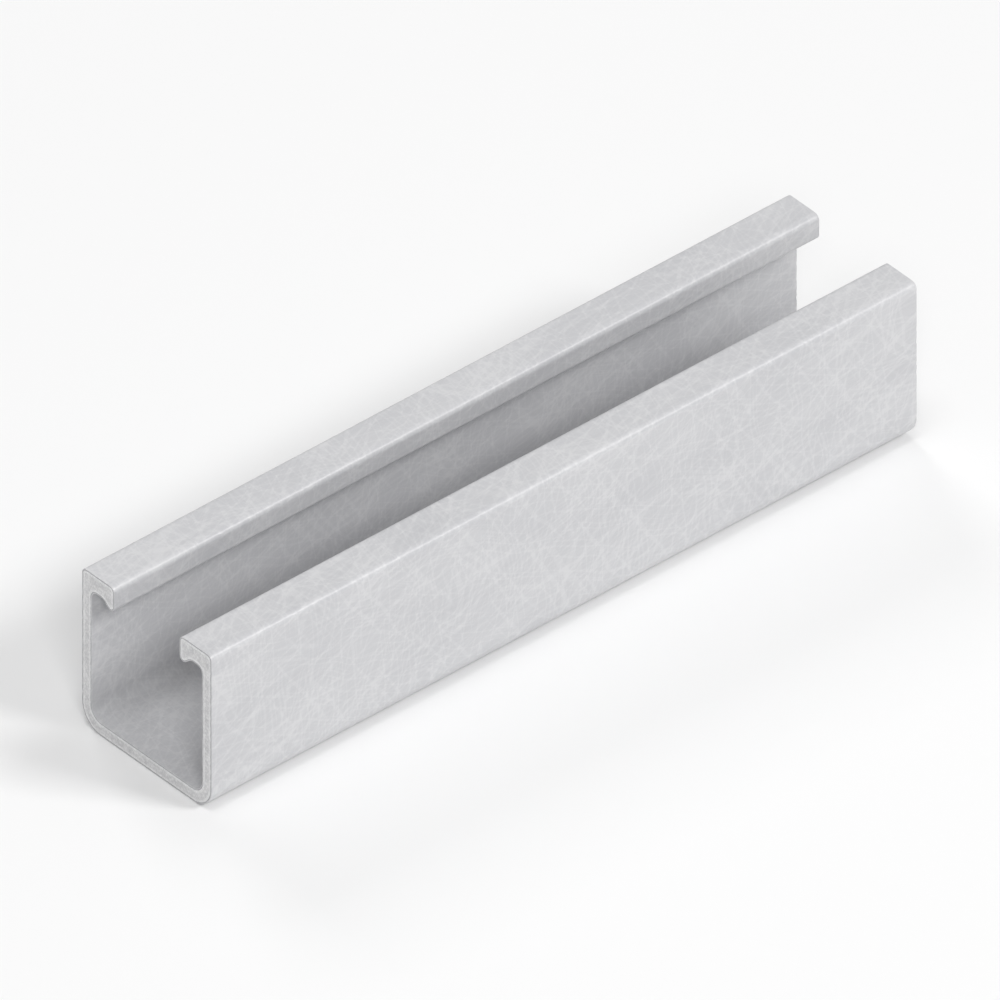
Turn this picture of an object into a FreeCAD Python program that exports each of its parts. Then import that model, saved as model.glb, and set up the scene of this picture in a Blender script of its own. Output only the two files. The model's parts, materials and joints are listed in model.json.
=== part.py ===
# Fiberglass strut channel: one pultruded length, sawn square at both ends, on its web with the slot up.
# X runs along the channel, Y across it and Z up. The origin is the middle of the web's underside.
# Sizes are in mm. The section is the same on both sides of Y = 0: its +Y half is drawn, padded and mirrored.

import FreeCAD
import Part
import Sketcher

import os
from math import atan2, cos, radians, sin

DIMENSIONS = (
    ("channel_length", 195.0, "over the two sawn ends"),
    ("channel_width", 41.275, "over the two side walls"),
    ("channel_height", 41.275, "from the web's underside to the flange tops"),
    ("wall_thickness", 3.175, "each side wall"),
    ("web_thickness", 3.575, "the web that the channel stands on"),
    ("base_outer_radius", 6.0, "outside corner between web and wall"),
    ("base_inner_radius", 3.0, "inside corner between web and wall"),
    ("shoulder_radius", 1.5, "outside corner between wall and flange"),
    ("flange_thickness", 4.76, "each inturned flange, at its root"),
    ("flange_root_radius", 1.6, "inside corner between wall and flange"),
    ("slot_width", 20.64, "clear between the two lips"),
    ("lip_depth", 6.45, "from the flange top to the lowest line of the lip's bead"),
    ("lip_edge_radius", 1.5, "upper corner of the lip"),
    ("bead_radius", 1.25, "rounded foot of the lip"),
    ("bead_flank_angle", 41.0, "degrees that the bead's back slope rises from level"),
    ("bead_fillet_radius", 1.75, "hollow between the bead and the flange's underside"),
)


def make_sheet(doc):
    """The driving sizes: name in column A, value in B under that name as its alias, meaning in C."""
    sheet = doc.addObject("Spreadsheet::Sheet", "dimensions")
    for row, (name, value, meaning) in enumerate(DIMENSIONS, start=1):
        sheet.set(f"A{row}", name)
        sheet.set(f"B{row}", str(value))
        sheet.setAlias(f"B{row}", name)
        sheet.set(f"C{row}", meaning)
    doc.recompute()
    return sheet


def origin_plane(body, role):
    return next(plane for plane in body.Origin.OriginFeatures if plane.Role == role)


class Outline:
    """A closed outline drawn stroke after stroke, each stroke named and joined to the one before it."""

    FIRST, LAST, CENTRE = 1, 2, 3

    def __init__(self, sketch):
        self.sketch = sketch
        self.index = {}
        self.begin = {}
        self.end = {}
        self.pen = None
        self.previous = None

    def start(self, y, z):
        self.pen = FreeCAD.Vector(y, z, 0)

    def line(self, name, y, z, smooth=True):
        """A straight stroke to (y, z)."""
        target = FreeCAD.Vector(y, z, 0)
        edge = Part.LineSegment(self.pen, target)
        self._add(name, edge, self.FIRST, self.LAST, target, smooth)

    def arc(self, name, centre_y, centre_z, radius, from_angle, to_angle):
        """A round stroke about a centre, from one bearing to another, in degrees; it may turn either way."""
        centre = FreeCAD.Vector(centre_y, centre_z, 0)
        low, high = sorted((radians(from_angle), radians(to_angle)))
        edge = Part.ArcOfCircle(Part.Circle(centre, FreeCAD.Vector(0, 0, 1), radius), low, high)
        bearing = radians(to_angle)
        target = centre + FreeCAD.Vector(cos(bearing), sin(bearing), 0) * radius
        turns_left = to_angle > from_angle
        begin, end = (self.FIRST, self.LAST) if turns_left else (self.LAST, self.FIRST)
        self._add(name, edge, begin, end, target, True)

    def close(self, first):
        self._join(first, smooth=False)

    def _add(self, name, edge, begin, end, target, smooth):
        self.index[name] = self.sketch.addGeometry(edge, False)
        self.begin[name] = begin
        self.end[name] = end
        if self.previous:
            self._join(name, smooth)
        self.previous = name
        self.pen = target

    def _join(self, name, smooth):
        kind = "Tangent" if smooth else "Coincident"
        ends = (self.index[self.previous], self.end[self.previous], self.index[name], self.begin[name])
        self.sketch.addConstraint(Sketcher.Constraint(kind, *ends))


def draw_half_section(sketch, size):
    """Draws the +Y half of the section, counterclockwise from the origin, close to its constrained place."""
    half_width = size["channel_width"] / 2
    half_slot = size["slot_width"] / 2
    top = size["channel_height"]
    web = size["web_thickness"]
    inside = half_width - size["wall_thickness"]
    ceiling = top - size["flange_thickness"]
    base_outer = size["base_outer_radius"]
    base_inner = size["base_inner_radius"]
    shoulder = size["shoulder_radius"]
    lip_edge = size["lip_edge_radius"]
    root = size["flange_root_radius"]
    bead = size["bead_radius"]
    fillet = size["bead_fillet_radius"]
    flank = size["bead_flank_angle"]

    # The bead's back slope leaves the bead, and meets the hollow, square to these two radii.
    slope_y, slope_z = cos(radians(flank)), sin(radians(flank))
    bead_y = half_slot + bead
    bead_z = top - size["lip_depth"] + bead
    fillet_z = ceiling - fillet
    leave_y, leave_z = bead_y + bead * slope_z, bead_z - bead * slope_y
    meet_z = fillet_z + fillet * slope_y
    meet_y = leave_y + (meet_z - leave_z) * slope_y / slope_z
    fillet_y = meet_y + fillet * slope_z

    outline = Outline(sketch)
    outline.start(0, 0)
    outline.line("web_underside", half_width - base_outer, 0)
    outline.arc("base_outside", half_width - base_outer, base_outer, base_outer, -90, 0)
    outline.line("wall_outside", half_width, top - shoulder)
    outline.arc("shoulder", half_width - shoulder, top - shoulder, shoulder, 0, 90)
    outline.line("flange_top", half_slot + lip_edge, top)
    outline.arc("lip_edge", half_slot + lip_edge, top - lip_edge, lip_edge, 90, 180)
    outline.line("lip_face", half_slot, bead_z)
    outline.arc("bead", bead_y, bead_z, bead, 180, 270 + flank)
    outline.line("bead_flank", meet_y, meet_z)
    outline.arc("bead_hollow", fillet_y, fillet_z, fillet, 90 + flank, 90)
    outline.line("flange_underside", inside - root, ceiling)
    outline.arc("flange_root", inside - root, ceiling - root, root, 90, 0)
    outline.line("wall_inside", inside, web + base_inner)
    outline.arc("base_inside", inside - base_inner, web + base_inner, base_inner, 0, -90)
    outline.line("web_topside", 0, web)
    outline.line("mirror_line", 0, 0, smooth=False)
    outline.close("web_underside")
    return outline


def size_half_section(sketch, outline):
    """Levels and plumbs the straight strokes, then ties every size of the section to the sheet."""
    at = outline.index
    first, last, centre = Outline.FIRST, Outline.LAST, Outline.CENTRE
    origin = (-1, first)

    for stroke in ("web_underside", "flange_top", "flange_underside", "web_topside"):
        sketch.addConstraint(Sketcher.Constraint("Horizontal", at[stroke]))
    for stroke in ("wall_outside", "lip_face", "wall_inside", "mirror_line"):
        sketch.addConstraint(Sketcher.Constraint("Vertical", at[stroke]))
    sketch.addConstraint(Sketcher.Constraint("Coincident", at["web_underside"], first, *origin))

    def tie(name, constraint, expression):
        number = sketch.addConstraint(constraint)
        sketch.renameConstraint(number, name)
        sketch.setExpression(f"Constraints.{name}", expression)

    def across(name, start, end, expression):
        reach = sketch.getPoint(*end).x - sketch.getPoint(*start).x
        tie(name, Sketcher.Constraint("DistanceX", *start, *end, reach), expression)

    def up(name, start, end, expression):
        reach = sketch.getPoint(*end).y - sketch.getPoint(*start).y
        tie(name, Sketcher.Constraint("DistanceY", *start, *end, reach), expression)

    across("half_width", origin, (at["wall_outside"], first), "dimensions.channel_width / 2")
    across("half_slot", origin, (at["lip_face"], first), "dimensions.slot_width / 2")
    across("wall", (at["wall_inside"], first), (at["wall_outside"], last), "dimensions.wall_thickness")
    up("height", origin, (at["flange_top"], first), "dimensions.channel_height")
    up("web", origin, (at["web_topside"], last), "dimensions.web_thickness")
    up("flange", (at["flange_underside"], first), (at["flange_top"], last), "dimensions.flange_thickness")
    bead_to_top = "dimensions.lip_depth - dimensions.bead_radius"
    up("bead_height", (at["bead"], centre), (at["flange_top"], last), bead_to_top)

    radii = {
        "base_outside": "base_outer_radius",
        "base_inside": "base_inner_radius",
        "shoulder": "shoulder_radius",
        "flange_root": "flange_root_radius",
        "lip_edge": "lip_edge_radius",
        "bead": "bead_radius",
        "bead_hollow": "bead_fillet_radius",
    }
    for stroke, radius in radii.items():
        drawn = sketch.Geometry[at[stroke]].Radius
        tie(f"{stroke}_radius", Sketcher.Constraint("Radius", at[stroke], drawn), f"dimensions.{radius}")

    flank = sketch.Geometry[at["bead_flank"]]
    run = flank.EndPoint - flank.StartPoint
    drawn = atan2(run.y, run.x)
    angle = Sketcher.Constraint("Angle", at["bead_flank"], drawn)
    tie("flank_angle", angle, "dimensions.bead_flank_angle * 1 deg")


def build_channel(doc, size):
    """The whole channel as one body: half section, pad to length, mirror about Y = 0."""
    body = doc.addObject("PartDesign::Body", "strut_channel")
    body.Label = "strut_channel"
    body.Placement = FreeCAD.Placement()

    section = body.newObject("Sketcher::SketchObject", "half_section")
    section.AttachmentSupport = [(origin_plane(body, "YZ_Plane"), "")]
    section.MapMode = "FlatFace"
    doc.recompute()
    outline = draw_half_section(section, size)
    size_half_section(section, outline)
    doc.recompute()

    half = body.newObject("PartDesign::Pad", "half_channel")
    half.Profile = section
    half.SideType = "Symmetric"
    half.setExpression("Length", "dimensions.channel_length")
    body.Tip = half
    doc.recompute()

    whole = body.newObject("PartDesign::Mirrored", "whole_channel")
    whole.Originals = [half]
    whole.MirrorPlane = (origin_plane(body, "XZ_Plane"), [""])
    body.Tip = whole
    doc.recompute()
    return body


def check(doc, pieces):
    """Stops on any failed object, loose sketch or bad solid, before anything is written."""
    for item in doc.Objects:
        if "Invalid" in item.State or "Error" in item.State:
            raise RuntimeError(f"{item.Label} failed: {item.State}")
    for sketch in doc.findObjects("Sketcher::SketchObject"):
        if not sketch.FullyConstrained:
            raise RuntimeError(f"{sketch.Label} is not fully constrained")
    for piece in pieces:
        shape = piece.Shape
        if shape.isNull() or not shape.isValid() or len(shape.Solids) != 1:
            raise RuntimeError(f"{piece.Label} is not one valid solid")


def main():
    doc = FreeCAD.newDocument("fiberglass_strut_channel")
    sheet = make_sheet(doc)
    size = {name: sheet.get(name) for name, _, _ in DIMENSIONS}
    pieces = [build_channel(doc, size)]
    check(doc, pieces)
    os.makedirs("parts", exist_ok=True)
    for piece in pieces:
        piece.Shape.exportStep(os.path.join("parts", f"{piece.Label}.step"))
        box = piece.Shape.BoundBox
        area = piece.Shape.Volume / box.XLength
        reach = " x ".join(f"{side:.3f}" for side in (box.XLength, box.YLength, box.ZLength))
        print(f"{piece.Label}: {reach} mm, section {area:.1f} mm2")


main()
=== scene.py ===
# Looks of a fiberglass strut channel: one pultruded length, sawn at both ends, on its web with the slot up.
# X runs along the channel, Y across it and Z up. All sizes are in metres.
import json
from math import cos, radians, sin, tan

import bmesh
import bpy
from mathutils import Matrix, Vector

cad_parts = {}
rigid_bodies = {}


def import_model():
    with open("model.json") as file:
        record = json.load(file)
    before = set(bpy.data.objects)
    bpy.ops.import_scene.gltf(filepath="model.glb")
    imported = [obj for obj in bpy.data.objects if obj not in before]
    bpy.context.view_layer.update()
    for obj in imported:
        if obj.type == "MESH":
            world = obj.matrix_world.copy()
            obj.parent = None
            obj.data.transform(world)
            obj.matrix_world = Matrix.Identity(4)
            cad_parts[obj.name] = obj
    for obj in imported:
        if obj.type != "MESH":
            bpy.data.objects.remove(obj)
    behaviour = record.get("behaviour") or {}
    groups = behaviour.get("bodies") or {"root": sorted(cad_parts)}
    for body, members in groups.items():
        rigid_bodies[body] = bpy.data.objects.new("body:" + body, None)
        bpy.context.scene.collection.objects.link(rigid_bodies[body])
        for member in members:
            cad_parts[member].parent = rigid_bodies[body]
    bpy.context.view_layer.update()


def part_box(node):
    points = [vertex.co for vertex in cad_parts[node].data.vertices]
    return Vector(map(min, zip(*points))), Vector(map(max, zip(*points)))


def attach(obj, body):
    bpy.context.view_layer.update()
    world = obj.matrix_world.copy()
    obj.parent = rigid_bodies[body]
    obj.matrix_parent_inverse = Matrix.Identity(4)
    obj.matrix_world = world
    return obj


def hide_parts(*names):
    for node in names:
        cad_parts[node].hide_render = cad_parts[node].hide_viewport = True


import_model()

MM = 0.001
NODE = "strut_channel"
NODE_LOW, NODE_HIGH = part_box(NODE)

# The section, which is the same on both sides of Y = 0.
LENGTH = NODE_HIGH[0] - NODE_LOW[0]
WIDTH = NODE_HIGH[1] - NODE_LOW[1]
HEIGHT = NODE_HIGH[2] - NODE_LOW[2]
WALL = 3.175 * MM
WEB = 3.575 * MM
FLANGE = 4.76 * MM
SLOT = 20.64 * MM
LIP_DEPTH = 6.45 * MM
BASE_OUTER_RADIUS = 6.0 * MM
BASE_INNER_RADIUS = 3.0 * MM
SHOULDER_RADIUS = 1.5 * MM
ROOT_RADIUS = 1.6 * MM
LIP_EDGE_RADIUS = 1.5 * MM
BEAD_RADIUS = 1.25 * MM
BEAD_HOLLOW_RADIUS = 1.75 * MM
BEAD_FLANK = radians(41)
SQUARE = radians(90)

HALF_WIDTH = WIDTH / 2
HALF_LENGTH = LENGTH / 2
HALF_SLOT = SLOT / 2
INSIDE = HALF_WIDTH - WALL
CEILING = HEIGHT - FLANGE
BEAD_LOW = HEIGHT - LIP_DEPTH
BEAD_HEEL = HALF_SLOT + BEAD_RADIUS * (1 + tan(BEAD_FLANK / 2))
FLANK_TOP = BEAD_HEEL + (CEILING - BEAD_LOW) / tan(BEAD_FLANK)

# How finely the skin and the sawn faces are divided: a skin face is a run long and a strip wide.
STRIP = 0.8 * MM
RUN = 3.9 * MM
SAWN_CELL = 0.45 * MM

# The sawn ends: their eased edge, the veil and mat layers inside it, and where the skin's first cuts are.
EASED = 0.2 * MM
VEIL_LAYER = 0.22 * MM
MAT_LAYER = 0.55 * MM
END_LOOPS = (0.55 * MM, 1.3 * MM, 2.4 * MM)

# Relief in the mesh: each pattern has a depth, and a size along X, Y and Z.
DIE_LINE_DEPTH, DIE_LINE_CELL = 0.02 * MM, (140 * MM, 2.6 * MM, 2.6 * MM)
RIPPLE_DEPTH, RIPPLE_CELL = 0.04 * MM, (45 * MM, 10 * MM, 10 * MM)
BLADE_MARK_DEPTH, BLADE_MARK_CELL = 0.06 * MM, (4.3 * MM, 4.3 * MM, 4.3 * MM)
BLADE_MIDDLE = (8 * MM, -165 * MM, 118 * MM)
BLADE_WOBBLE, BLADE_WOBBLE_SCALE = 2.5, 0.6
TORN_FIBRE_DEPTH, TORN_FIBRE_CELL = 0.03 * MM, (0.9 * MM, 0.9 * MM, 0.9 * MM)
CHIP_DEPTH, CHIP_CELL = 0.25 * MM, (1.3 * MM, 1.3 * MM, 1.3 * MM)
CHIP_BOTTOM, CHIP_BRIM = 0.24, 0.37

# Patterns of the skin, laid on its rolled-out map: cloudy resin, the fine surface veil, rovings along the
# channel, and broad and fine strands of mat that sway and lie at angles to its length.
RESIN_CLOUD_CELL = (30 * MM, 14 * MM, 1)
VEIL_CELL = (0.5 * MM, 0.42 * MM, 1)
ROVING_CELL = (55 * MM, 0.8 * MM, 1)
BROAD_STRAND_CELL = (34 * MM, 1.3 * MM, 1)
BROAD_STRAND_TURNS = (radians(9), radians(41), radians(-57))
FINE_STRAND_CELL = (22 * MM, 0.7 * MM, 1)
FINE_STRAND_TURNS = (radians(-24), radians(24), radians(72), radians(-86))
STRAND_SWAY, STRAND_SWAY_CELL = 5 * MM, (16 * MM, 16 * MM, 1)
STRAND_SIDE, STRAND_BACK = 0.57, 0.68
PRINT_DEPTH = 0.022 * MM

# Patterns of the sawn ends: tooth marks about the blade's middle, blotches, short fibres, roving bundles.
TOOTH_MARK_CELL = (1.9 * MM, 1.9 * MM, 1.9 * MM)
TOOTH_WOBBLE, TOOTH_WOBBLE_SCALE = 3.0, 0.35
VEIL_BLOTCH_CELL = (1.1 * MM, 1.1 * MM, 1.1 * MM)
MAT_BLOTCH_CELL = (1.5 * MM, 1.2 * MM, 1.2 * MM)
SHORT_FIBRE_CELL = (0.9 * MM, 0.8 * MM, 0.8 * MM)
SHORT_FIBRE_WIDTH, SHORT_FIBRE_TWIST = 0.05, 0.8
ROVING_BLOTCH_CELL = (3 * MM, 2.2 * MM, 2.2 * MM)
BUNDLE_CELL = (4 * MM, 0.62 * MM, 0.62 * MM)
VEIL_CUT_DEPTH = 0.035 * MM
FIBRE_CUT_DEPTH = 0.04 * MM

# Colours, as shares of red, green and blue light that a surface gives back.
SKIN_DARK = (0.525, 0.527, 0.545)
SKIN_MIDDLE = (0.575, 0.576, 0.591)
SKIN_LIGHT = (0.645, 0.645, 0.656)
VEIL_DARK = (0.36, 0.36, 0.375)
VEIL_LIGHT = (0.47, 0.47, 0.48)
MAT_DARK = (0.70, 0.70, 0.71)
MAT_LIGHT = (0.90, 0.90, 0.902)
ROVING_DARK = (0.57, 0.57, 0.58)
ROVING_LIGHT = (0.84, 0.84, 0.842)
PAPER_DARK = (0.895, 0.895, 0.895)
PAPER_LIGHT = (0.905, 0.905, 0.905)

# Roughness, from 0 for a mirror to 1 for chalk.
SKIN_SLEEK, SKIN_DULL = 0.28, 0.34
VEIL_ROUGHNESS = 0.6
MAT_ROUGHNESS = 0.72
ROVING_ROUGHNESS = 0.78
PAPER_ROUGHNESS = 0.9

# The drawing's view: a parallel projection, with the aim given from the origin in the picture's plane.
VIEW_AZIMUTH = radians(-41.01)
VIEW_ELEVATION = radians(37.56)
PICTURE_PIXELS = 1000
PIXELS_PER_MM = 4.7939
VIEW_WIDTH = PICTURE_PIXELS / PIXELS_PER_MM * MM
AIM_ACROSS = 0.13 * MM
AIM_UP = 17.03 * MM
CAMERA_DISTANCE = 2.5
CAMERA_NEAR, CAMERA_FAR = 0.01, 10.0

# Studio: each softbox has a name, an azimuth, an elevation, a size and its watts.
FLOOR_SIZE = 8.0
PAPER_CLOUD_CELL = (0.9, 0.9, 0.9)
PAPER_GLOSS = 0.1
CHANNEL_MIDDLE = Vector((0, 0, HEIGHT / 2))
LIGHT_DISTANCE = 6.0
SOFTBOXES = (
    ("slot_light", radians(30), radians(41.5), 1.6, 142),
    ("end_light", radians(-35), radians(39.8), 1.6, 85),
    ("top_light", radians(-60), radians(80), 2.0, 80),
    ("back_light", radians(165), radians(38), 2.0, 60),
)
ROOM_LIGHT = 0.35
BACKDROP_TONE = 0.96

# How near places and directions have to be to count as the same, and how sharp an edge has to be to show.
TINY = 0.01 * MM
FACES_THAT_WAY = 0.9
RUNS_THAT_WAY = 0.999
SAME_FLAT = radians(0.5)
SMOOTH_UNDER = radians(38)

SKIN_SLOT, VEIL_SLOT, MAT_SLOT, CORE_SLOT = 0, 1, 2, 3
ROLLED_OUT = "rolled_out"


# Selecting

def deselect_all():
    for item in bpy.context.view_layer.objects:
        item.select_set(False)


def pick(piece):
    """Leaves the piece as the only one selected, and the active one."""
    deselect_all()
    piece.select_set(True)
    bpy.context.view_layer.objects.active = piece


def edit(piece):
    """Opens the piece for editing with nothing selected."""
    pick(piece)
    bpy.ops.object.mode_set(mode="EDIT")
    bpy.ops.mesh.select_all(action="DESELECT")


def finish_edit():
    bpy.ops.object.mode_set(mode="OBJECT")


def select_only(piece, kind, wanted):
    """Selects only the faces or edges that the test takes, and says how many they are."""
    bpy.ops.mesh.select_mode(type=kind)
    bpy.ops.mesh.select_all(action="DESELECT")
    mesh = bmesh.from_edit_mesh(piece.data)
    items = mesh.faces if kind == "FACE" else mesh.edges
    chosen = [item for item in items if wanted(item)]
    for item in chosen:
        item.select_set(True)
    bmesh.update_edit_mesh(piece.data, loop_triangles=False, destructive=False)
    return len(chosen)


def select_faces(piece, wanted):
    return select_only(piece, "FACE", wanted)


def select_edges(piece, wanted):
    return select_only(piece, "EDGE", wanted)


def near(a, b):
    return abs(a - b) < TINY


def middle(edge):
    return (edge.verts[0].co + edge.verts[1].co) / 2


def runs_lengthwise(edge):
    way = edge.verts[1].co - edge.verts[0].co
    return abs(way.x) > RUNS_THAT_WAY * way.length


def in_sawn_plane(item):
    """True for a face or an edge that lies in one of the two sawn planes."""
    first = item.verts[0].co.x
    return near(abs(first), HALF_LENGTH) and all(near(point.co.x, first) for point in item.verts)


def bevel(offset, segments):
    """Rounds the selected edges, or eases them with two segments."""
    settings = {"offset_type": "OFFSET", "profile": 0.5, "clamp_overlap": False}
    bpy.ops.mesh.bevel(offset=offset, segments=segments, **settings)


# Shaping the channel

def block_half_section():
    """The +Y half with sharp corners: wall, flange and lip are pulled out of the web."""
    middle_of_half = (0, HALF_WIDTH / 2, WEB / 2)
    bpy.ops.mesh.primitive_cube_add(size=1, location=middle_of_half, scale=(LENGTH, HALF_WIDTH, WEB))
    piece = bpy.context.active_object
    bpy.ops.object.transform_apply(location=True, rotation=True, scale=True)
    edit(piece)

    bpy.ops.mesh.select_all(action="SELECT")
    bpy.ops.mesh.bisect(plane_co=(0, INSIDE, 0), plane_no=(0, 1, 0))

    def pull(way):
        bpy.ops.mesh.extrude_region_move(TRANSFORM_OT_translate={"value": way})

    def over_the_wall(face):
        return face.normal.z > FACES_THAT_WAY and face.calc_center_median().y > INSIDE

    select_faces(piece, over_the_wall)
    pull((0, 0, CEILING - WEB))
    pull((0, 0, FLANGE))

    def inside_the_flange(face):
        return face.normal.y < -FACES_THAT_WAY and face.calc_center_median().z > CEILING

    select_faces(piece, inside_the_flange)
    pull((0, FLANK_TOP - INSIDE, 0))
    pull((0, BEAD_HEEL - FLANK_TOP, 0))
    pull((0, HALF_SLOT - BEAD_HEEL, 0))

    # The lip's underside comes down to the bead's lowest line, and the strip behind it becomes the flank.
    def under_the_lip(face):
        place = face.calc_center_median()
        return face.normal.z < -FACES_THAT_WAY and near(place.z, CEILING) and place.y < BEAD_HEEL

    select_faces(piece, under_the_lip)
    bpy.ops.transform.translate(value=(0, 0, BEAD_LOW - CEILING))

    # Without the seams between the blocks, each flat is one face and each end is one face.
    for side in (-1, 1):
        select_faces(piece, lambda face: face.normal.x * side > FACES_THAT_WAY)
        bpy.ops.mesh.dissolve_faces()
    bpy.ops.mesh.select_all(action="SELECT")
    bpy.ops.mesh.dissolve_limited(angle_limit=SAME_FLAT)
    finish_edit()
    return piece


def round_half_section(piece):
    """Rounds each lengthwise corner: its place across and up, its radius, the turn in it, its segments."""
    corners = (
        (HALF_WIDTH, 0, BASE_OUTER_RADIUS, SQUARE, 14),
        (INSIDE, WEB, BASE_INNER_RADIUS, SQUARE, 10),
        (HALF_WIDTH, HEIGHT, SHOULDER_RADIUS, SQUARE, 8),
        (INSIDE, CEILING, ROOT_RADIUS, SQUARE, 8),
        (HALF_SLOT, HEIGHT, LIP_EDGE_RADIUS, SQUARE, 8),
        (FLANK_TOP, CEILING, BEAD_HOLLOW_RADIUS, BEAD_FLANK, 5),
        (HALF_SLOT, BEAD_LOW, BEAD_RADIUS, SQUARE, 8),
        (BEAD_HEEL, BEAD_LOW, BEAD_RADIUS, BEAD_FLANK, 4),
    )
    edit(piece)
    for across, up, radius, turn, parts in corners:
        def at_corner(edge):
            place = middle(edge)
            return runs_lengthwise(edge) and near(place.y, across) and near(place.z, up)

        select_edges(piece, at_corner)
        setback = radius * tan(turn / 2)
        bevel(setback, parts)
    bpy.ops.mesh.select_all(action="SELECT")
    bpy.ops.mesh.remove_doubles(threshold=TINY / 4)
    finish_edit()


def mirror_half(piece):
    """Adds the -Y half. Both ends are left open."""
    def in_mirror_plane(face):
        return all(near(point.co.y, 0) for point in face.verts)

    edit(piece)
    select_faces(piece, lambda face: in_sawn_plane(face) or in_mirror_plane(face))
    bpy.ops.mesh.delete(type="FACE")
    finish_edit()
    bpy.ops.object.modifier_add(type="MIRROR")
    mirror = piece.modifiers[-1]
    mirror.use_axis = (False, True, False)
    mirror.use_clip = True
    mirror.merge_threshold = TINY
    bpy.ops.object.modifier_apply(modifier=mirror.name)


def cut_flats_into_strips(piece):
    """Divides each flat along the channel, so that its skin can carry relief."""
    edit(piece)
    for parts in range(2, round(HEIGHT / STRIP)):
        def takes_these_parts(edge):
            return in_sawn_plane(edge) and round(edge.calc_length() / STRIP) == parts

        if select_edges(piece, takes_these_parts):
            bpy.ops.mesh.subdivide(number_cuts=parts - 1)
    finish_edit()


def close_sawn_ends(piece):
    """Closes both ends, eases their edges, and sets off the layers that lie under the skin."""
    edit(piece)
    for side in (-1, 1):
        select_edges(piece, lambda edge: in_sawn_plane(edge) and middle(edge).x * side > 0)
        bpy.ops.mesh.edge_face_add()
    bpy.ops.mesh.select_all(action="SELECT")
    bpy.ops.mesh.normals_make_consistent(inside=False)

    select_faces(piece, in_sawn_plane)
    bpy.ops.mesh.region_to_loop()
    bevel(EASED, 2)
    select_faces(piece, in_sawn_plane)
    for slot, thickness in ((VEIL_SLOT, VEIL_LAYER), (MAT_SLOT, MAT_LAYER), (CORE_SLOT, 0)):
        piece.active_material_index = slot
        bpy.ops.object.material_slot_assign()
        if thickness:
            bpy.ops.mesh.inset(thickness=thickness, use_even_offset=True)
    finish_edit()


def cut_runs(piece):
    """Divides the skin across its length, closer together near the sawn ends."""
    edit(piece)
    for inward in END_LOOPS:
        for side in (-1, 1):
            bpy.ops.mesh.select_all(action="SELECT")
            bpy.ops.mesh.bisect(plane_co=(side * (HALF_LENGTH - inward), 0, 0), plane_no=(1, 0, 0))
    select_edges(piece, lambda edge: runs_lengthwise(edge) and edge.calc_length() > LENGTH / 2)
    bpy.ops.mesh.subdivide(number_cuts=round(LENGTH / RUN) - 1)
    finish_edit()


def cut_sawn_cores(piece):
    """Cuts the roving core of both ends into small cells, so that it can carry saw marks."""
    edit(piece)

    def cut_at(place, way):
        def crosses(face):
            if face.material_index != CORE_SLOT:
                return False
            sides = [(point.co - place).dot(way) for point in face.verts]
            return min(sides) < 0 < max(sides)

        if select_faces(piece, crosses):
            bpy.ops.mesh.bisect(plane_co=place, plane_no=way)

    for step in range(1, int(WIDTH / SAWN_CELL)):
        cut_at(Vector((0, step * SAWN_CELL - HALF_WIDTH, 0)), Vector((0, 1, 0)))
        cut_at(Vector((0, 0, step * SAWN_CELL)), Vector((0, 0, 1)))
    finish_edit()


def roll_out_skin(piece):
    """Maps the skin flat, in metres: U runs along the channel and V round its section from the seam."""
    piece.data.uv_layers.active.name = ROLLED_OUT
    edit(piece)
    select_edges(piece, lambda edge: runs_lengthwise(edge) and middle(edge).yz.length < TINY)
    bpy.ops.mesh.mark_seam()

    def first_quad(face):
        place = face.calc_center_median()
        return near(place.z, WEB) and 0 < place.y < STRIP and 0 < place.x < RUN

    select_faces(piece, first_quad)
    bpy.ops.uv.cube_project(cube_size=1, correct_aspect=False)
    mesh = bmesh.from_edit_mesh(piece.data)
    mesh.faces.active = next(face for face in mesh.faces if face.select)
    for face in mesh.faces:
        face.select_set(face.material_index == SKIN_SLOT)
    bmesh.update_edit_mesh(piece.data, loop_triangles=False, destructive=False)
    bpy.context.scene.tool_settings.use_uv_select_sync = True
    bpy.ops.uv.follow_active_quads(mode="LENGTH_AVERAGE")
    finish_edit()


def make_channel():
    deselect_all()
    piece = block_half_section()
    piece.name = "channel"
    for finish in (pultruded_skin(), sawn_veil(), sawn_mat(), sawn_roving()):
        piece.data.materials.append(finish)
    round_half_section(piece)
    mirror_half(piece)
    cut_flats_into_strips(piece)
    close_sawn_ends(piece)
    cut_runs(piece)
    roll_out_skin(piece)
    cut_sawn_cores(piece)
    return piece


# Relief that the skin and the sawn ends really have

def group_points(piece, name, wanted):
    group = piece.vertex_groups.new(name=name)
    group.add([point.index for point in piece.data.vertices if wanted(point.co)], 1.0, "REPLACE")
    return group.name


def clouds(name):
    pattern = bpy.data.textures.new(name, "CLOUDS")
    pattern.noise_scale = 1.0
    pattern.noise_depth = 2
    return pattern


def chips(name):
    """Clouds of which only the lowest parts press in."""
    pattern = clouds(name)
    pattern.use_color_ramp = True
    bottom, brim = pattern.color_ramp.elements
    bottom.position, bottom.color = CHIP_BOTTOM, (0, 0, 0, 1)
    brim.position, brim.color = CHIP_BRIM, (1, 1, 1, 1)
    return pattern


def saw_rings(name):
    """Rings about the blade's middle; one ring takes 2 pi / 20 of the guide's size."""
    pattern = bpy.data.textures.new(name, "WOOD")
    pattern.wood_type = "RINGNOISE"
    pattern.noise_scale = BLADE_WOBBLE_SCALE
    pattern.turbulence = BLADE_WOBBLE
    return pattern


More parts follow.
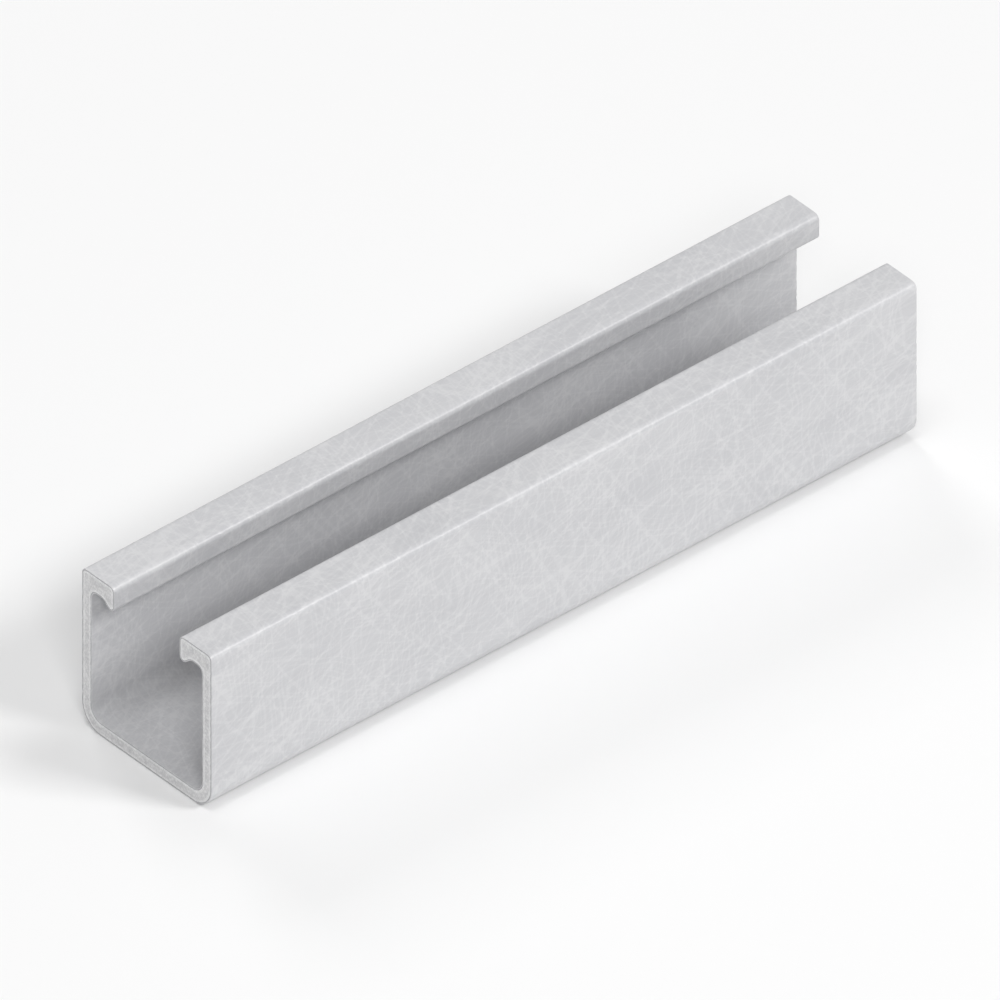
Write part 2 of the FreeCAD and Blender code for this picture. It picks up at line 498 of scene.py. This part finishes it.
def press(piece, group, pattern, depth, cell, place=(0, 0, 0)):
    """Presses a pattern into the grouped points, never outwards. The cell is its size along X, Y and Z."""
    bpy.ops.object.empty_add(location=place)
    guide = bpy.context.active_object
    guide.scale = cell
    pick(piece)
    bpy.ops.object.modifier_add(type="DISPLACE")
    relief = piece.modifiers[-1]
    relief.texture = pattern
    relief.texture_coords = "OBJECT"
    relief.texture_coords_object = guide
    relief.vertex_group = group
    relief.direction = "NORMAL"
    relief.mid_level = 1.0
    relief.strength = depth
    bpy.ops.object.modifier_apply(modifier=relief.name)
    bpy.data.objects.remove(guide)


def add_relief(piece):
    """Die lines and ripple on the skin, blade marks and torn fibre on the sawn ends, chips in the edges."""
    brink = HALF_LENGTH - EASED
    skin = group_points(piece, "skin", lambda place: abs(place.x) < brink + EASED / 2)
    sawn = group_points(piece, "sawn", lambda place: abs(place.x) > HALF_LENGTH - TINY)
    edge = group_points(piece, "edge", lambda place: brink - TINY < abs(place.x) < HALF_LENGTH - TINY)
    press(piece, skin, clouds("die_lines"), DIE_LINE_DEPTH, DIE_LINE_CELL)
    press(piece, skin, clouds("ripple"), RIPPLE_DEPTH, RIPPLE_CELL)
    press(piece, sawn, saw_rings("blade_marks"), BLADE_MARK_DEPTH, BLADE_MARK_CELL, BLADE_MIDDLE)
    press(piece, sawn, clouds("torn_fibre"), TORN_FIBRE_DEPTH, TORN_FIBRE_CELL)
    press(piece, edge, chips("edge_chips"), CHIP_DEPTH, CHIP_CELL)
    pick(piece)
    bpy.ops.object.shade_smooth_by_angle(angle=SMOOTH_UNDER)


# Finishes

class Finish:
    """A material whose patterns read the piece's coordinates or its rolled-out map. Cells are in metres."""

    def __init__(self, name, rolled_out=False):
        self.material = bpy.data.materials.new(name)
        self.material.use_nodes = True
        self.tree = self.material.node_tree
        self.shader = self.tree.nodes["Principled BSDF"]
        if rolled_out:
            self.place = self.add("ShaderNodeUVMap", uv_map=ROLLED_OUT).outputs["UV"]
        else:
            self.place = self.add("ShaderNodeTexCoord").outputs["Object"]

    def add(self, kind, **settings):
        node = self.tree.nodes.new(kind)
        for name, value in settings.items():
            setattr(node, name, value)
        return node

    def feed(self, socket, value):
        """Sets a socket to a number, or links what another node puts out."""
        if isinstance(value, bpy.types.NodeSocket):
            self.tree.links.new(value, socket)
        else:
            socket.default_value = value

    def laid(self, cell, turn=0.0, start=(0, 0, 0)):
        """The place counted in cells from a start, for a pattern turned about Z."""
        mapping = self.add("ShaderNodeMapping", vector_type="TEXTURE")
        self.feed(mapping.inputs["Vector"], self.place)
        mapping.inputs["Location"].default_value = start
        mapping.inputs["Rotation"].default_value = (0, 0, turn)
        mapping.inputs["Scale"].default_value = cell
        return mapping.outputs["Vector"]

    def noise(self, cell, detail, twist=0.0, turn=0.0, start=(0, 0, 0)):
        """Cloudy noise; detail adds ever finer clouds, and twist winds them."""
        pattern = self.add("ShaderNodeTexNoise")
        self.feed(pattern.inputs["Vector"], self.laid(cell, turn, start))
        pattern.inputs["Scale"].default_value = 1.0
        pattern.inputs["Detail"].default_value = detail
        pattern.inputs["Distortion"].default_value = twist
        return pattern

    def grain(self, cell, detail, twist=0.0, turn=0.0, start=(0, 0, 0)):
        """Noise from 0 to 1 with about 0.5 in the middle."""
        return self.noise(cell, detail, twist, turn, start).outputs["Fac"]

    def sway(self, cell, reach):
        """From here on every pattern wanders off its place, by up to half the reach to each side."""
        wander = self.noise(cell, 1.0).outputs["Color"]
        centred = self.add("ShaderNodeVectorMath", operation="SUBTRACT")
        self.feed(centred.inputs[0], wander)
        centred.inputs[1].default_value = (0.5, 0.5, 0.5)
        moved = self.add("ShaderNodeVectorMath", operation="MULTIPLY_ADD")
        self.feed(moved.inputs[0], centred.outputs["Vector"])
        moved.inputs[1].default_value = (reach, reach, 0)
        self.feed(moved.inputs[2], self.place)
        self.place = moved.outputs["Vector"]

    def cells(self, cell):
        """Distance to the nearest of scattered points, and a random tone for each point."""
        dots = self.add("ShaderNodeTexVoronoi")
        self.feed(dots.inputs["Vector"], self.laid(cell))
        dots.inputs["Scale"].default_value = 1.0
        return dots.outputs["Distance"], dots.outputs["Color"]

    def blade_marks(self):
        """Uneven rings that the saw blade's teeth left, 0 to 1, about the blade's middle."""
        rings = self.add("ShaderNodeTexWave", wave_type="RINGS", rings_direction="X")
        self.feed(rings.inputs["Vector"], self.laid(TOOTH_MARK_CELL, start=BLADE_MIDDLE))
        rings.inputs["Scale"].default_value = 1.0
        rings.inputs["Distortion"].default_value = TOOTH_WOBBLE
        rings.inputs["Detail"].default_value = 2.0
        rings.inputs["Detail Scale"].default_value = TOOTH_WOBBLE_SCALE
        return rings.outputs["Fac"]

    def count(self, operation, first, second=0.0, third=0.0):
        sum_up = self.add("ShaderNodeMath", operation=operation)
        for socket, value in zip(sum_up.inputs, (first, second, third)):
            self.feed(socket, value)
        return sum_up.outputs["Value"]

    def spread(self, value, from_low, from_high, to_low, to_high):
        span = self.add("ShaderNodeMapRange", interpolation_type="SMOOTHSTEP")
        for socket, number in zip(span.inputs, (value, from_low, from_high, to_low, to_high)):
            self.feed(socket, number)
        return span.outputs["Result"]

    def threads(self, cell, width, twist):
        """Thin winding lines, 1 on the line and 0 off it: where the noise passes its middle."""
        off_middle = self.count("ABSOLUTE", self.count("SUBTRACT", self.grain(cell, 1.0, twist), 0.5))
        return self.spread(off_middle, 0.0, width, 1.0, 0.0)

    def strands(self, cell, turns):
        """Scattered strands, 1 on a strand and 0 off it, added up for every way that they lie."""
        layers = []
        for turn in turns:
            drawn_out = self.grain(cell, 0.0, turn=turn, start=(turn, turn, 0))
            layers.append((self.spread(drawn_out, STRAND_SIDE, STRAND_BACK, 0.0, 1.0), 1.0))
        return self.add_up(*layers)

    def add_up(self, *weighted):
        """The sum of (value, weight) pairs."""
        total = 0.0
        for value, weight in weighted:
            total = self.count("MULTIPLY_ADD", value, weight, total)
        return total

    def tones(self, value, *stops):
        ramp = self.add("ShaderNodeValToRGB")
        self.feed(ramp.inputs["Fac"], value)
        points = ramp.color_ramp.elements
        while len(points) < len(stops):
            points.new(0.5)
        for point, (position, colour) in zip(points, stops):
            point.position = position
            point.color = (*colour, 1)
        return ramp.outputs["Color"]

    def relief(self, height, depth):
        bump = self.add("ShaderNodeBump")
        self.feed(bump.inputs["Height"], height)
        bump.inputs["Distance"].default_value = depth
        self.feed(self.shader.inputs["Normal"], bump.outputs["Normal"])


def pultruded_skin():
    """Grey resin over a surface veil: mat strands and lengthwise rovings print through faintly."""
    skin = Finish("pultruded_skin", rolled_out=True)
    cloud = skin.grain(RESIN_CLOUD_CELL, 3.0)
    rovings = skin.grain(ROVING_CELL, 2.0)
    veil = skin.grain(VEIL_CELL, 2.0)
    skin.sway(STRAND_SWAY_CELL, STRAND_SWAY)
    broad = skin.strands(BROAD_STRAND_CELL, BROAD_STRAND_TURNS)
    fine = skin.strands(FINE_STRAND_CELL, FINE_STRAND_TURNS)
    mat = skin.add_up((broad, 0.55), (fine, 0.55))
    tone = skin.add_up((cloud, 0.38), (rovings, 0.24), (veil, 0.14), (mat, 0.13))
    colour = skin.tones(tone, (0.26, SKIN_DARK), (0.42, SKIN_MIDDLE), (0.62, SKIN_LIGHT))
    skin.feed(skin.shader.inputs["Base Color"], colour)
    sheen = skin.add_up((rovings, 0.36), (veil, 0.26), (cloud, 0.38))
    skin.feed(skin.shader.inputs["Roughness"], skin.spread(sheen, 0.36, 0.64, SKIN_SLEEK, SKIN_DULL))
    skin.relief(skin.add_up((rovings, 0.35), (veil, 0.3), (mat, 0.35)), PRINT_DEPTH)
    return skin.material


def sawn_veil():
    """The cut edge of the resin-rich veil: a thin dark line round the section."""
    veil = Finish("sawn_veil")
    blotch = veil.grain(VEIL_BLOTCH_CELL, 3.0)
    veil.feed(veil.shader.inputs["Base Color"], veil.tones(blotch, (0.3, VEIL_DARK), (0.7, VEIL_LIGHT)))
    veil.shader.inputs["Roughness"].default_value = VEIL_ROUGHNESS
    veil.relief(veil.add_up((blotch, 0.6), (veil.blade_marks(), 0.6)), VEIL_CUT_DEPTH)
    return veil.material


def sawn_mat():
    """The mat layer's cut edge, rubbed pale: short fibre ends in every direction."""
    mat = Finish("sawn_mat")
    blotch = mat.grain(MAT_BLOTCH_CELL, 2.0)
    fibre = mat.threads(SHORT_FIBRE_CELL, SHORT_FIBRE_WIDTH, SHORT_FIBRE_TWIST)
    marks = mat.blade_marks()
    tone = mat.add_up((blotch, 0.66), (fibre, 0.2), (marks, 0.1))
    mat.feed(mat.shader.inputs["Base Color"], mat.tones(tone, (0.25, MAT_DARK), (0.6, MAT_LIGHT)))
    mat.shader.inputs["Roughness"].default_value = MAT_ROUGHNESS
    mat.relief(mat.add_up((blotch, 0.4), (fibre, 0.3), (marks, 0.6)), FIBRE_CUT_DEPTH)
    return mat.material


def sawn_roving():
    """The core's cut face: roving ends side by side, each bundle with a tone of its own."""
    core = Finish("sawn_roving")
    off_middle, bundle_tone = core.cells(BUNDLE_CELL)
    blotch = core.grain(ROVING_BLOTCH_CELL, 3.0)
    bundle = core.spread(off_middle, 0.1, 0.75, 1.0, 0.0)
    marks = core.blade_marks()
    tone = core.add_up((blotch, 0.4), (bundle, 0.2), (bundle_tone, 0.22), (marks, 0.1))
    core.feed(core.shader.inputs["Base Color"], core.tones(tone, (0.2, ROVING_DARK), (0.68, ROVING_LIGHT)))
    core.shader.inputs["Roughness"].default_value = ROVING_ROUGHNESS
    core.relief(core.add_up((bundle, 0.4), (blotch, 0.3), (marks, 0.6)), FIBRE_CUT_DEPTH)
    return core.material


def studio_paper():
    paper = Finish("studio_paper")
    cloud = paper.grain(PAPER_CLOUD_CELL, 2.0)
    paper.feed(paper.shader.inputs["Base Color"], paper.tones(cloud, (0.3, PAPER_DARK), (0.7, PAPER_LIGHT)))
    paper.shader.inputs["Roughness"].default_value = PAPER_ROUGHNESS
    paper.shader.inputs["Specular IOR Level"].default_value = PAPER_GLOSS
    return paper.material


# Studio

def lay_floor():
    bpy.ops.mesh.primitive_plane_add(size=FLOOR_SIZE, location=(0, 0, -TINY))
    floor = bpy.context.active_object
    floor.name = "studio_floor"
    bpy.ops.object.transform_apply(location=True, rotation=False, scale=False)
    floor.data.materials.append(studio_paper())


def bearing(azimuth, elevation):
    """The unit vector from the object to a viewer; azimuth 0 looks along +Y, elevation is from level."""
    level = cos(elevation)
    return Vector((sin(azimuth) * level, -cos(azimuth) * level, sin(elevation)))


def facing(azimuth, elevation):
    return (SQUARE - elevation, 0, azimuth)


def softbox(name, azimuth, elevation, size, watts):
    """A square soft light that looks at the channel's middle, from a bearing and height about it."""
    place = CHANNEL_MIDDLE + bearing(azimuth, elevation) * LIGHT_DISTANCE
    bpy.ops.object.light_add(type="AREA", location=place, rotation=facing(azimuth, elevation))
    light = bpy.context.active_object
    light.name = name
    light.data.name = name
    light.data.shape = "SQUARE"
    light.data.size = size
    light.data.energy = watts


def set_camera():
    """A parallel view, as the drawing's lines stay parallel, from its angle and at its scale."""
    across = Vector((cos(VIEW_AZIMUTH), sin(VIEW_AZIMUTH), 0))
    back = bearing(VIEW_AZIMUTH, VIEW_ELEVATION)
    up = back.cross(across)
    aim = across * AIM_ACROSS + up * AIM_UP
    place = aim + back * CAMERA_DISTANCE
    bpy.ops.object.camera_add(location=place, rotation=facing(VIEW_AZIMUTH, VIEW_ELEVATION))
    camera = bpy.context.active_object
    camera.name = "camera"
    camera.data.type = "ORTHO"
    camera.data.ortho_scale = VIEW_WIDTH
    camera.data.clip_start = CAMERA_NEAR
    camera.data.clip_end = CAMERA_FAR
    bpy.context.scene.camera = camera


def studio_room():
    """Even light from all round, behind a backdrop as pale as the floor where a low view looks past it."""
    world = bpy.data.worlds.new("studio_room")
    world.use_nodes = True
    tree = world.node_tree
    room = tree.nodes["Background"]
    room.inputs["Color"].default_value = (1, 1, 1, 1)
    room.inputs["Strength"].default_value = ROOM_LIGHT
    backdrop = tree.nodes.new("ShaderNodeBackground")
    backdrop.inputs["Color"].default_value = (1, 1, 1, 1)
    backdrop.inputs["Strength"].default_value = BACKDROP_TONE
    choice = tree.nodes.new("ShaderNodeMixShader")
    seen_by = tree.nodes.new("ShaderNodeLightPath")
    tree.links.new(seen_by.outputs["Is Camera Ray"], choice.inputs["Fac"])
    tree.links.new(room.outputs["Background"], choice.inputs[1])
    tree.links.new(backdrop.outputs["Background"], choice.inputs[2])
    tree.links.new(choice.outputs["Shader"], tree.nodes["World Output"].inputs["Surface"])
    return world


def light_studio():
    for box in SOFTBOXES:
        softbox(*box)
    bpy.context.scene.world = studio_room()
    bpy.context.scene.view_settings.view_transform = "Standard"
    bpy.context.scene.view_settings.look = "None"


channel = make_channel()
add_relief(channel)
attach(channel, "root")
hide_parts(NODE)
lay_floor()
light_studio()
set_camera()
